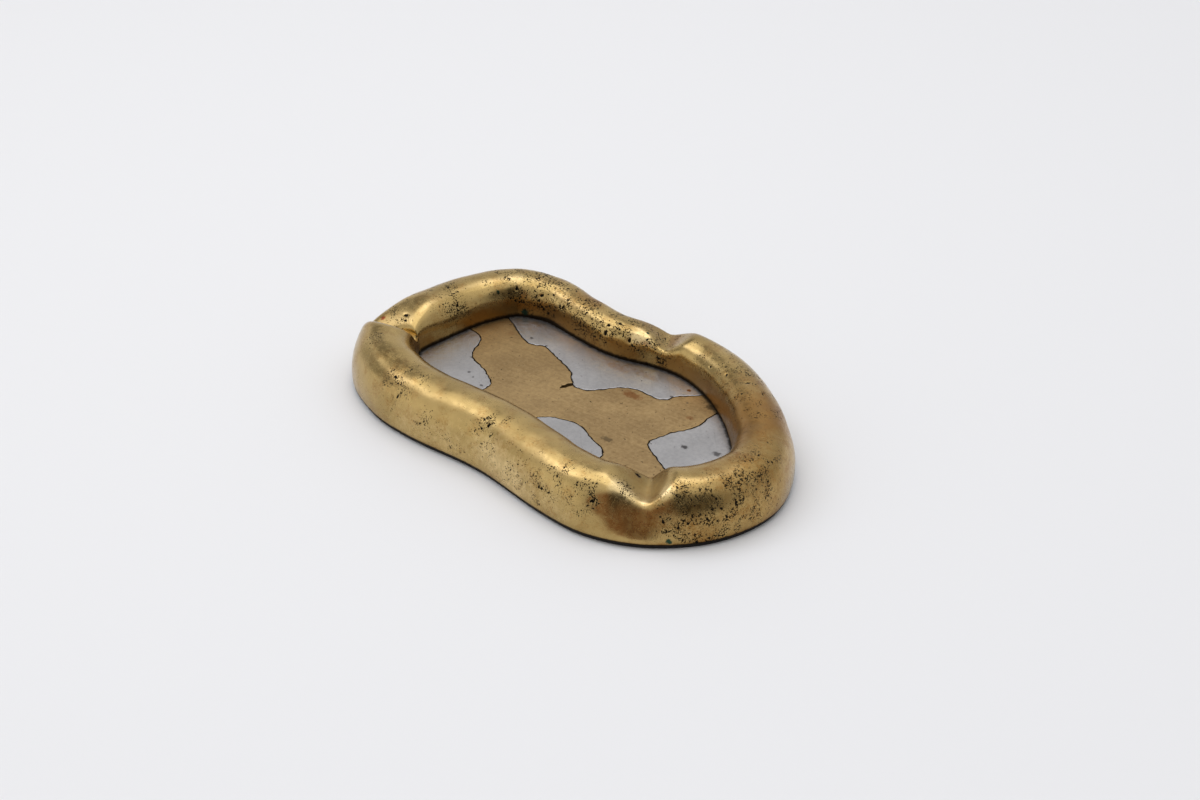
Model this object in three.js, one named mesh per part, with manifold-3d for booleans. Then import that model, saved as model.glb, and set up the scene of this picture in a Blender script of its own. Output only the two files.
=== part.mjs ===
// A heavy cast ashtray: a rolled brass rim with three pinched cigarette rests, round a flat
// floor pieced together from a brass web and four aluminium inlays, on a felted base.
// Millimetres, +Z up. The origin is on the table under the middle of the tray, with +X along
// its length and the straighter long side towards -Y.

import * as THREE from "three";
import { mergeVertices } from "three/addons/utils/BufferGeometryUtils.js";
import Module from "manifold-3d";

// Overall size in plan
const TRAY_LENGTH = 224;
const TRAY_WIDTH = 134;

// Rim section: the roundness is 1 for a true ellipse, and less for a squarer shoulder
const RIM_HEIGHT = 26;
const RIM_WIDTH = 29.5;
const CROWN_INSET = 14.75;
const BELLY_RISE = 3;
const BASE_TUCK = 0.8;
const LIP_REACH = 3;
const OUTER_ROUNDNESS = 0.87;
const INNER_ROUNDNESS = 0.75;

// Base stack, from the table up
const FELT_THICKNESS = 1.5;
const BACKING_THICKNESS = 2.5;
const FLOOR_THICKNESS = 4;

// Clearances
const FELT_INSET = 0.6;
const SEAT_GAP = 0.3;
const SEAM_GAP = 0.5;

// Cigarette rests: V grooves through the crown between low shoulders, over a wall that is
// pressed in below them
const REST_DEPTH = 7;
const REST_HALF_WIDTH = 13;
const REST_RADIUS = 2;
const REST_EDGE = 2.4;
const SHOULDER_HEIGHT = 0.4;
const SHOULDER_HALF_WIDTH = 6;
const PRESS_DEPTH = 4;
const PRESS_HALF_WIDTH = 17;
const PRESS_PEAK = 0.65;

// Short casting crack that runs from the back inlay's corner into the brass web
const CRACK_LENGTH = 6.5;
const CRACK_WIDTH = 2;
const CRACK_ANGLE = -108;

// Facets: steps round the rim, set closer at the rests, and points over its section and seams
const RIM_STEPS = 168;
const REST_CROWDING = 2.2;
const TRACE_STEPS = 1200;
const DOME_POINTS = 17;
const BELLY_POINTS = 3;
const SEAM_STEPS_PER_POINT = 2;

// Heights in the stack
const FLOOR_BOTTOM = FELT_THICKNESS + BACKING_THICKNESS;
const FLOOR_TOP = FLOOR_BOTTOM + FLOOR_THICKNESS;
const BELLY_HEIGHT = FELT_THICKNESS + BELLY_RISE;

// Stations anticlockwise from the right end. x and y are the belly's place in plan, as shares
// of half the length and half the width. width and height say how the roll swells there.
const STATIONS = [
  { x: 1.0, y: 0.01, width: 0.98, height: 1.01 },
  { x: 0.89, y: 0.41, width: 0.93, height: 0.99 },
  { x: 0.7, y: 0.69, width: 0.88, height: 0.98 },
  { x: 0.51, y: 0.87, width: 0.84, height: 0.96 },
  { x: 0.33, y: 0.97, width: 0.79, height: 0.94 },
  { x: 0.14, y: 1.0, width: 0.75, height: 0.92 },
  { x: -0.04, y: 0.94, width: 0.72, height: 0.89 },
  { x: -0.19, y: 0.85, width: 0.7, height: 0.88 },
  { x: -0.37, y: 0.86, width: 0.71, height: 0.9 },
  { x: -0.58, y: 0.89, width: 0.77, height: 0.93 },
  { x: -0.8, y: 0.75, width: 0.83, height: 0.97 },
  { x: -0.93, y: 0.41, width: 0.89, height: 0.98 },
  { x: -0.985, y: 0.0, width: 0.95, height: 0.99 },
  { x: -0.99, y: -0.44, width: 0.99, height: 1.01 },
  { x: -0.845, y: -0.785, width: 1.01, height: 1.01 },
  { x: -0.61, y: -0.96, width: 1.0, height: 1.01 },
  { x: -0.37, y: -0.99, width: 1.0, height: 1.0 },
  { x: -0.02, y: -0.94, width: 1.0, height: 1.0 },
  { x: 0.34, y: -0.995, width: 0.99, height: 0.99 },
  { x: 0.58, y: -0.97, width: 1.01, height: 1.01 },
  { x: 0.8, y: -0.78, width: 1.05, height: 1.04 },
  { x: 0.96, y: -0.43, width: 1.02, height: 1.03 },
];

// Cigarette rests: the direction of each belly point from the tray's middle in degrees. depth,
// spread, round, edge and press are shares of the sizes above. aside is how far along the rim
// the pressed place lies from the groove. lean widens the groove's anticlockwise side and narrows
// the other, and slant and fall move it along the rim and down for each step inwards.
const RESTS = [
  {
    angle: -32, depth: 1.35, spread: 1.25, round: 2.2, edge: 1.6, press: 1.0, aside: -5,
    lean: -0.2, slant: 0.0, fall: 0.1,
  },
  {
    angle: 89.5, depth: 0.95, spread: 1.0, round: 1.0, edge: 1.2, press: 0.3, aside: 0,
    lean: 0.0, slant: -0.35, fall: -0.05,
  },
  {
    angle: -163.5, depth: 1.5, spread: 1.35, round: 1.0, edge: 2.4, press: 0.0, aside: 0,
    lean: -0.35, slant: 0.35, fall: 0.05,
  },
];

// Seams between the brass web and the inlays, as shares of half the floor's length and width.
// The first and last points of a seam lie under the rim, and outside closes it round beyond.
const INLAYS = {
  left: {
    seam: [
      [-1.12, 0.26], [-0.98, 0.23], [-0.91, 0.22], [-0.86, 0.15], [-0.81, -0.06], [-0.77, -0.19],
      [-0.7, -0.25], [-0.63, -0.29], [-0.57, -0.36], [-0.49, -0.46], [-0.48, -0.61], [-0.46, -1.2],
    ],
    outside: [[-0.6, -1.9], [-1.5, -1.3], [-1.6, 0.4]],
  },
  back: {
    seam: [
      [-1.05, 0.84], [-0.9, 0.73], [-0.78, 0.61], [-0.65, 0.49], [-0.6, 0.52], [-0.55, 0.58],
      [-0.5, 0.55], [-0.38, 0.47], [-0.26, 0.38], [-0.17, 0.2], [-0.12, 0.18], [-0.06, 0.23],
      [-0.02, 0.34], [0.04, 0.54], [0.12, 0.64], [0.2, 0.65], [0.28, 0.67], [0.31, 0.74],
      [0.32, 0.84], [0.36, 0.94], [0.41, 1.07], [0.48, 1.3],
    ],
    outside: [[0.55, 1.9], [-0.6, 1.9], [-1.35, 1.3]],
  },
  front: {
    seam: [
      [-0.25, -1.2], [-0.14, -0.78], [-0.07, -0.58], [-0.03, -0.49], [0.03, -0.43], [0.09, -0.39],
      [0.16, -0.38], [0.25, -0.46], [0.32, -0.51], [0.39, -0.56], [0.42, -0.65], [0.44, -0.85],
      [0.46, -1.2],
    ],
    outside: [[0.5, -1.9], [-0.35, -1.9]],
  },
  right: {
    seam: [
      [0.6, 1.3], [0.59, 0.87], [0.59, 0.75], [0.6, 0.61], [0.59, 0.46], [0.54, 0.24],
      [0.52, 0.05], [0.51, -0.05], [0.55, -0.17], [0.62, -0.23], [0.69, -0.31], [0.74, -0.36],
      [0.9, -0.52], [1.1, -0.72],
    ],
    outside: [[1.6, -1.0], [1.6, 0.8], [1.0, 1.9]],
  },
};

// The corner of the back inlay that the crack starts from
const CRACK_START = [-0.17, 0.2];

const wasm = await Module();
wasm.setup();

function solidOf(geometry) {
  const bare = geometry.clone();
  bare.deleteAttribute("normal");
  bare.deleteAttribute("uv");
  const merged = mergeVertices(bare, 1e-3);
  const vertProperties = new Float32Array(merged.attributes.position.array);
  const triVerts = new Uint32Array(merged.index.array);
  return new wasm.Manifold(new wasm.Mesh({ numProp: 3, vertProperties, triVerts }));
}

function geometryOf(solid) {
  const mesh = solid.getMesh();
  const geometry = new THREE.BufferGeometry();
  geometry.setAttribute("position", new THREE.BufferAttribute(mesh.vertProperties, 3));
  geometry.setIndex(new THREE.BufferAttribute(mesh.triVerts, 1));
  geometry.computeVertexNormals();
  return geometry;
}

function extruded(outline, bottom, thickness) {
  const shape = new THREE.Shape(outline);
  const geometry = new THREE.ExtrudeGeometry(shape, { depth: thickness, bevelEnabled: false });
  return geometry.translate(0, 0, bottom);
}

function closedSpline(pairs) {
  const points = pairs.map(([x, y]) => new THREE.Vector3(x, y, 0));
  return new THREE.CatmullRomCurve3(points, true, "catmullrom", 0.5);
}

// The belly's outline, traced finely: plan places at the real size and the way travelled.
function traceOutline(plan) {
  const shares = Array.from({ length: TRACE_STEPS + 1 }, (_, i) => i / TRACE_STEPS);
  const drawn = shares.map((share) => plan.getPoint(share % 1));
  const box = new THREE.Box3().setFromPoints(drawn);
  const middle = box.getCenter(new THREE.Vector3());
  const span = box.getSize(new THREE.Vector3());
  const stretch = new THREE.Vector2(TRAY_LENGTH / span.x, TRAY_WIDTH / span.y);
  const points = drawn.map((p) => new THREE.Vector2(p.x - middle.x, p.y - middle.y).multiply(stretch));
  const travelled = [0];
  for (let i = 1; i <= TRACE_STEPS; i += 1) {
    travelled.push(travelled[i - 1] + points[i].distanceTo(points[i - 1]));
  }
  return { shares, points, travelled, stretch };
}

// Where each rest lies on the way round, from its direction.
function placeRests({ points, travelled }) {
  return RESTS.map((rest) => {
    const aim = new THREE.Vector2(1, 0).rotateAround(
      new THREE.Vector2(), THREE.MathUtils.degToRad(rest.angle));
    const closeness = points.map((point) => point.clone().normalize().dot(aim));
    return { ...rest, way: travelled[closeness.indexOf(Math.max(...closeness))] };
  });
}

// Signed way along the outline between two places, the short way round.
function wayBetween(from, to, perimeter) {
  const way = to - from;
  return way - perimeter * Math.round(way / perimeter);
}

// Samples round the rim, crowded at the rests, each with its inward direction and local roll.
function sampleRim() {
  const plan = closedSpline(STATIONS.map((s) => [s.x, s.y]));
  const swell = closedSpline(STATIONS.map((s) => [s.width, s.height]));
  const trace = traceOutline(plan);
  const perimeter = trace.travelled[TRACE_STEPS];
  const rests = placeRests(trace);
  const effort = [0];
  for (let i = 1; i <= TRACE_STEPS; i += 1) {
    const crowd = rests.reduce((sum, rest) => {
      const reach = wayBetween(rest.way, trace.travelled[i], perimeter) / REST_HALF_WIDTH;
      return sum + REST_CROWDING * Math.exp(-reach * reach);
    }, 1);
    effort.push(effort[i - 1] + crowd * (trace.travelled[i] - trace.travelled[i - 1]));
  }
  return Array.from({ length: RIM_STEPS }, (_, step) => {
    const target = (step / RIM_STEPS) * effort[TRACE_STEPS];
    const i = effort.findIndex((value) => value > target);
    const part = (target - effort[i - 1]) / (effort[i] - effort[i - 1]);
    const share = THREE.MathUtils.lerp(trace.shares[i - 1], trace.shares[i], part);
    const along = plan.getTangent(share);
    const heading = new THREE.Vector2(along.x, along.y).multiply(trace.stretch).normalize();
    const way = THREE.MathUtils.lerp(trace.travelled[i - 1], trace.travelled[i], part);
    const roll = swell.getPoint(share);
    return {
      point: trace.points[i - 1].clone().lerp(trace.points[i], part),
      inward: new THREE.Vector2(-heading.y, heading.x),
      width: RIM_WIDTH * roll.x,
      height: RIM_HEIGHT * roll.y,
      rests: rests.map((rest) => ({ ...rest, apart: wayBetween(rest.way, way, perimeter) })),
    };
  });
}

// The smaller of two heights, with the edge between them rounded over.
function softLower(first, second, edge) {
  const mix = THREE.MathUtils.clamp(0.5 + (second - first) / (2 * edge), 0, 1);
  return THREE.MathUtils.lerp(second, first, mix) - edge * mix * (1 - mix);
}

// The height of the dome at one sample and inset, once the rests are pressed into it. rise
// is 1 at the crown and 0 at the foot.
function pressedHeight(sample, inset, foot, rise) {
  const inwards = inset - CROWN_INSET;
  return sample.rests.reduce((height, rest) => {
    const along = rest.apart - rest.slant * inwards;
    const off = Math.abs(along);
    const depth = REST_DEPTH * rest.depth;
    const radius = REST_RADIUS * rest.round;
    const widening = 1 + rest.lean * Math.sign(along);
    const halfWidth = REST_HALF_WIDTH * rest.spread * widening;
    const slope = depth / (Math.hypot(halfWidth, radius) - radius);
    const bottom = sample.height - depth - rest.fall * inwards;
    const groove = bottom + slope * (Math.hypot(off, radius) - radius);
    const beside = (off - halfWidth) / SHOULDER_HALF_WIDTH;
    const shoulder = SHOULDER_HEIGHT * rise * Math.exp(-beside * beside);
    return softLower(height + shoulder, groove, REST_EDGE * rest.edge);
  }, foot + (sample.height - foot) * rise);
}

// How far the outer wall is pressed in below the rests, at one sample and rise. It is pressed
// deepest at the peak's share of the rise.
function pressedIn(sample, rise) {
  const profile = Math.sin((Math.PI / 2) * (rise / PRESS_PEAK));
  return sample.rests.reduce((inset, rest) => {
    const share = (rest.apart - rest.aside) / PRESS_HALF_WIDTH;
    return inset + PRESS_DEPTH * rest.press * profile * Math.exp(-share * share);
  }, 0);
}

// The rim's section at one sample, as [inset from the belly, height]: up the outside, over
// the crown, down to the lip and round the rebate to the base.
function rimSection(sample) {
  const { width } = sample;
  const crown = (CROWN_INSET / RIM_WIDTH) * width;
  const section = [];
  for (let k = 0; k < BELLY_POINTS; k += 1) {
    const turn = (k / BELLY_POINTS) * (Math.PI / 2);
    const tuck = BASE_TUCK * (1 - Math.sin(turn));
    section.push([tuck, FELT_THICKNESS + BELLY_RISE * (1 - Math.cos(turn))]);
  }
  for (let k = 0; k < DOME_POINTS; k += 1) {
    const turn = (k / (DOME_POINTS - 1)) * Math.PI;
    const outside = k < DOME_POINTS / 2;
    const roundness = outside ? OUTER_ROUNDNESS : INNER_ROUNDNESS;
    const lean = Math.abs(Math.cos(turn)) ** roundness;
    const rise = Math.max(Math.sin(turn), 0) ** roundness;
    const inset = outside
      ? crown * (1 - lean) + pressedIn(sample, rise)
      : crown + (width - crown) * lean;
    const foot = outside ? BELLY_HEIGHT : FLOOR_TOP;
    section.push([inset, pressedHeight(sample, inset, foot, rise)]);
  }
  section.push([width - LIP_REACH, FLOOR_TOP]);
  section.push([width - LIP_REACH, FELT_THICKNESS]);
  return section;
}

function rimGeometry(samples) {
  const sections = samples.map(rimSection);
  const count = sections[0].length;
  const positions = [];
  samples.forEach((sample, i) => sections[i].forEach(([inset, height]) => {
    const place = sample.point.clone().addScaledVector(sample.inward, inset);
    positions.push(place.x, place.y, height);
  }));
  const index = [];
  for (let i = 0; i < samples.length; i += 1) {
    const next = (i + 1) % samples.length;
    for (let k = 0; k < count; k += 1) {
      const over = (k + 1) % count;
      const [here, there] = [i * count + k, next * count + k];
      const [thereOver, hereOver] = [next * count + over, i * count + over];
      index.push(here, there, thereOver, here, thereOver, hereOver);
    }
  }
  const geometry = new THREE.BufferGeometry();
  geometry.setAttribute("position", new THREE.Float32BufferAttribute(positions, 3));
  geometry.setIndex(index);
  geometry.computeVertexNormals();
  return geometry;
}

// A flat slab whose edge keeps an inset from the belly all round.
function slabGeometry(samples, insetOf, bottom, thickness) {
  const edge = samples.map((s) => s.point.clone().addScaledVector(s.inward, insetOf(s)));
  return extruded(edge, bottom, thickness);
}

function floorPoint([x, y]) {
  return new THREE.Vector2(x * (TRAY_LENGTH / 2 - RIM_WIDTH), y * (TRAY_WIDTH / 2 - RIM_WIDTH));
}

// A cutting block that passes right through the floor.
function floorBlock(outline) {
  return solidOf(extruded(outline, FLOOR_BOTTOM - FLOOR_THICKNESS / 2, FLOOR_THICKNESS * 2));
}

// A block with one inlay's outline, grown by an allowance.
function inlayBlock({ seam, outside }, grow) {
  const points = seam.map(floorPoint).map((p) => new THREE.Vector3(p.x, p.y, 0));
  const curve = new THREE.CatmullRomCurve3(points, false, "centripetal");
  const traced = curve.getPoints((seam.length - 1) * SEAM_STEPS_PER_POINT);
  const outline = traced.map((p) => new THREE.Vector2(p.x, p.y)).concat(outside.map(floorPoint));
  const outwards = THREE.ShapeUtils.isClockWise(outline) ? -grow : grow;
  const grown = outline.map((point, i) => {
    const before = outline[(i + outline.length - 1) % outline.length];
    const after = outline[(i + 1) % outline.length];
    const along = after.clone().sub(before).normalize();
    return point.clone().addScaledVector(new THREE.Vector2(along.y, -along.x), outwards);
  });
  return floorBlock(grown);
}

// The crack is a short slot that narrows towards its end in the web.
function crackBlock() {
  const turn = THREE.MathUtils.degToRad(CRACK_ANGLE);
  const along = new THREE.Vector2(Math.cos(turn), Math.sin(turn));
  const across = new THREE.Vector2(-along.y, along.x);
  const root = floorPoint(CRACK_START);
  const at = (way, off) => root.clone().addScaledVector(along, way).addScaledVector(across, off);
  return floorBlock([
    at(0, -CRACK_WIDTH / 2),
    at(CRACK_LENGTH - CRACK_WIDTH, -CRACK_WIDTH / 2),
    at(CRACK_LENGTH, -CRACK_WIDTH / 6),
    at(CRACK_LENGTH, CRACK_WIDTH / 6),
    at(CRACK_LENGTH - CRACK_WIDTH, CRACK_WIDTH / 2),
    at(0, CRACK_WIDTH / 2),
    at(-CRACK_WIDTH, 0),
  ]);
}

const castBrass = { color: 0xa98a4e, roughness: 0.3, metalness: 1 };
const brushedBrass = { color: 0x9c7d45, roughness: 0.5, metalness: 1 };
const aluminium = { color: 0x9a9ca3, roughness: 0.45, metalness: 1 };
const sheetBrass = { color: 0x8f7a4c, roughness: 0.5, metalness: 1 };
const blackFelt = { color: 0x17161a, roughness: 0.95, metalness: 0 };

const ashtray = new THREE.Group();

function addPiece(name, geometry, finish) {
  const mesh = new THREE.Mesh(geometry, new THREE.MeshStandardMaterial(finish));
  mesh.name = name;
  ashtray.add(mesh);
}

const samples = sampleRim();
const seatInset = (sample) => sample.width - LIP_REACH + SEAT_GAP;
const feltInset = () => BASE_TUCK + FELT_INSET;

addPiece("rim_casting", rimGeometry(samples), castBrass);

const floor = solidOf(slabGeometry(samples, seatInset, FLOOR_BOTTOM, FLOOR_THICKNESS));
let web = floor.subtract(crackBlock());
for (const [place, inlay] of Object.entries(INLAYS)) {
  web = web.subtract(inlayBlock(inlay, SEAM_GAP / 2));
  const piece = floor.intersect(inlayBlock(inlay, -SEAM_GAP / 2));
  addPiece(`floor_inlay_${place}`, geometryOf(piece), aluminium);
}
addPiece("floor_web_brass", geometryOf(web), brushedBrass);

addPiece(
  "backing_plate",
  slabGeometry(samples, seatInset, FELT_THICKNESS, BACKING_THICKNESS),
  sheetBrass,
);
addPiece("base_felt", slabGeometry(samples, feltInset, 0, FELT_THICKNESS), blackFelt);

export default ashtray;
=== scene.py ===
"""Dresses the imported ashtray: a pitted brass rim round a floor pieced from brass and aluminium.

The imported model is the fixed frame. Places are written in millimetres, as in the part's source, and
become metres when they reach Blender. +X runs along the tray, +Z is up, and the origin is on the table.
Scales of noise are written in lumps per metre, because materials read places in metres.
"""

import logging
import math
from dataclasses import dataclass, field
from enum import Enum

import bpy
import numpy as np
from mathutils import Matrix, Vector
from mathutils.kdtree import KDTree


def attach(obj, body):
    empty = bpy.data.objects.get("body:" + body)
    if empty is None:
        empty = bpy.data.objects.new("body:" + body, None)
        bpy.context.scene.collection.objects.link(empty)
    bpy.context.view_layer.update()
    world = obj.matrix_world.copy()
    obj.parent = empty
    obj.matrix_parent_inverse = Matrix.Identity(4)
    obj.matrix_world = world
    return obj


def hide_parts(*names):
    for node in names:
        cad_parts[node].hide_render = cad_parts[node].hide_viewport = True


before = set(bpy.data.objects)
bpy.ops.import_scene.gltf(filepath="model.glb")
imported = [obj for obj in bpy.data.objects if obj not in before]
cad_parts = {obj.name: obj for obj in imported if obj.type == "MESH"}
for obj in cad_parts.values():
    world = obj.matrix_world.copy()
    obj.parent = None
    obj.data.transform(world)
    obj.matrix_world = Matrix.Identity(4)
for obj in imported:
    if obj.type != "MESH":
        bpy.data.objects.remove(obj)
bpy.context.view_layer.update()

log = logging.getLogger("ashtray")

MM = 0.001
BODY = "root"

# Values that several pieces share, in millimetres unless the name says otherwise
FLOOR_TOP = 8.0
MERGE_REACH = 0.001
SAME_LEVEL = 0.01
FLAT_DEGREES = 0.5
LEAST_WEIGHT = 0.004
LEAST_SQUARE = 1e-12

Place = tuple[float, float, float]
Colour = tuple[float, float, float, float]
Limits = tuple[float, float]


def metres(place: Place) -> Vector:
    """A place in millimetres as a vector in metres."""
    return Vector(place) * MM


def smooth_step(limits: Limits, value: np.ndarray) -> np.ndarray:
    """A soft step over an array.

    Args:
        limits: The value where the step starts at 0 and the value where it reaches 1, in either order.
        value: The array to step.

    Returns:
        The stepped array, from 0 to 1.
    """
    low, high = limits
    share = np.clip((value - low) / (high - low), 0.0, 1.0)
    return share * share * (3.0 - 2.0 * share)


# Work on meshes


def work_on(piece: bpy.types.Object) -> None:
    """Deselects everything and makes one piece the active, selected one.

    Args:
        piece: The piece to work on.
    """
    bpy.ops.object.select_all(action="DESELECT")
    piece.select_set(True)
    bpy.context.view_layer.objects.active = piece


def edit_all(piece: bpy.types.Object) -> None:
    """Leaves a piece in edit mode with everything selected.

    Args:
        piece: The piece to work on.
    """
    work_on(piece)
    bpy.ops.object.mode_set(mode="EDIT")
    bpy.ops.mesh.select_all(action="SELECT")


def stop_editing() -> None:
    """Goes back to object mode."""
    bpy.ops.object.mode_set(mode="OBJECT")


def copy_of_node(node: str, name: str) -> bpy.types.Object:
    """Copies a CAD node into a piece of its own and merges the loose triangles.

    Args:
        node: The CAD node's name.
        name: The new piece's name.

    Returns:
        The new piece, at the origin, with no material.
    """
    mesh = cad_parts[node].data.copy()
    mesh.name = name
    mesh.materials.clear()
    piece = bpy.data.objects.new(name, mesh)
    bpy.context.scene.collection.objects.link(piece)
    work_on(piece)
    if mesh.has_custom_normals:
        bpy.ops.mesh.customdata_custom_splitnormals_clear()
    edit_all(piece)
    bpy.ops.mesh.remove_doubles(threshold=MERGE_REACH * MM)
    stop_editing()
    return piece


def merge_flat_faces(piece: bpy.types.Object) -> None:
    """Joins the triangles of each flat face into one face.

    Args:
        piece: The piece to change.
    """
    edit_all(piece)
    bpy.ops.mesh.dissolve_limited(angle_limit=math.radians(FLAT_DEGREES))
    stop_editing()


def apply_modifier(piece: bpy.types.Object, kind: str, **settings: object) -> None:
    """Adds a modifier to a piece and applies it.

    Args:
        piece: The piece to change.
        kind: The modifier's type name.
        settings: Properties of the modifier.
    """
    work_on(piece)
    modifier = piece.modifiers.new(kind.lower(), kind)
    for key, value in settings.items():
        setattr(modifier, key, value)
    bpy.ops.object.modifier_apply(modifier=modifier.name)


def clouds(name: str, size: float, layers: int, basis: str = "BLENDER_ORIGINAL") -> bpy.types.Texture:
    """A cloud texture that a Displace modifier can read.

    Args:
        name: The texture's name.
        size: The size of its lumps in millimetres.
        layers: How many layers of noise it has, each finer than the last.
        basis: The kind of noise.

    Returns:
        The new texture.
    """
    texture = bpy.data.textures.new(name, "CLOUDS")
    texture.noise_scale = size * MM
    texture.noise_depth = layers
    texture.noise_basis = basis
    return texture


def smooth_by_angle(piece: bpy.types.Object, degrees: float) -> None:
    """Shades a piece smooth, apart from edges sharper than an angle."""
    work_on(piece)
    bpy.ops.object.shade_smooth_by_angle(angle=math.radians(degrees))


def rows_of(piece: bpy.types.Object, items: str, key: str) -> np.ndarray:
    """Reads one vector for each item of a piece's mesh.

    Args:
        piece: The piece to read.
        items: The name of the mesh's list of items.
        key: The name of the vector in an item.

    Returns:
        The vectors, one row each.
    """
    listed = getattr(piece.data, items)
    flat = np.empty(len(listed) * 3)
    listed.foreach_get(key, flat)
    return flat.reshape(-1, 3)


def vertex_places(piece: bpy.types.Object) -> np.ndarray:
    """All vertex places of a piece in metres, one row each."""
    return rows_of(piece, "vertices", "co")


def vertex_normals(piece: bpy.types.Object) -> np.ndarray:
    """All vertex normals of a piece, one row each."""
    return rows_of(piece, "vertex_normals", "vector")


def edge_ends(piece: bpy.types.Object) -> np.ndarray:
    """The two vertex numbers of every edge of a piece, one row each."""
    return np.array([edge.vertices for edge in piece.data.edges])


def set_attribute(piece: bpy.types.Object, name: str, values: np.ndarray) -> None:
    """Stores one number for each vertex under a name that a material can read."""
    layer = piece.data.attributes.new(name, "FLOAT", "POINT")
    layer.data.foreach_set("value", np.asarray(values, dtype=np.float32))


def set_weights(piece: bpy.types.Object, name: str, values: np.ndarray) -> None:
    """Stores one weight for each vertex in a new vertex group.

    Args:
        piece: The piece to change.
        name: The group's name.
        values: The weights, from 0 to 1. The least of them are left out.
    """
    group = piece.vertex_groups.new(name=name)
    for index in np.nonzero(values > LEAST_WEIGHT)[0]:
        group.add([int(index)], float(values[index]), "REPLACE")


def tree_of(places: np.ndarray) -> KDTree:
    """A search tree over places.

    Args:
        places: Places in metres, one row each.

    Returns:
        The tree, ready to search.
    """
    tree = KDTree(len(places))
    for index, place in enumerate(places):
        tree.insert(place, index)
    tree.balance()
    return tree


def away_from_lines(places: np.ndarray, lines: np.ndarray) -> np.ndarray:
    """How far each place is from the nearest of some straight lines.

    Args:
        places: Places in plan, one row each.
        lines: The start and the end of each line, in plan.

    Returns:
        The least distance of each place.
    """
    least = np.full(len(places), np.inf)
    for start, end in lines:
        along = end - start
        squared = max(along @ along, LEAST_SQUARE)
        share = np.clip((places - start) @ along / squared, 0.0, 1.0)
        nearest = start + share[:, None] * along
        least = np.minimum(least, np.linalg.norm(places - nearest, axis=1))
    return least


def select_edges(piece: bpy.types.Object, wanted: np.ndarray) -> None:
    """Leaves a piece in edit mode with only the wanted edges selected.

    Args:
        piece: The piece to work on.
        wanted: One truth value for each edge.
    """
    work_on(piece)
    bpy.ops.object.mode_set(mode="EDIT")
    bpy.ops.mesh.select_mode(type="EDGE")
    bpy.ops.mesh.select_all(action="DESELECT")
    stop_editing()
    piece.data.edges.foreach_set("select", np.asarray(wanted, dtype=bool))
    bpy.ops.object.mode_set(mode="EDIT")


def round_edges(piece: bpy.types.Object, wanted: np.ndarray, reach: float, segments: int) -> None:
    """Rounds the wanted edges of a piece.

    Args:
        piece: The piece to change.
        wanted: One truth value for each edge.
        reach: How far the rounding reaches from the edge, in millimetres.
        segments: How many faces go round each edge.
    """
    select_edges(piece, wanted)
    bpy.ops.mesh.bevel(offset=reach * MM, segments=segments, affect="EDGES")
    stop_editing()


# Work on node trees


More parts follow.
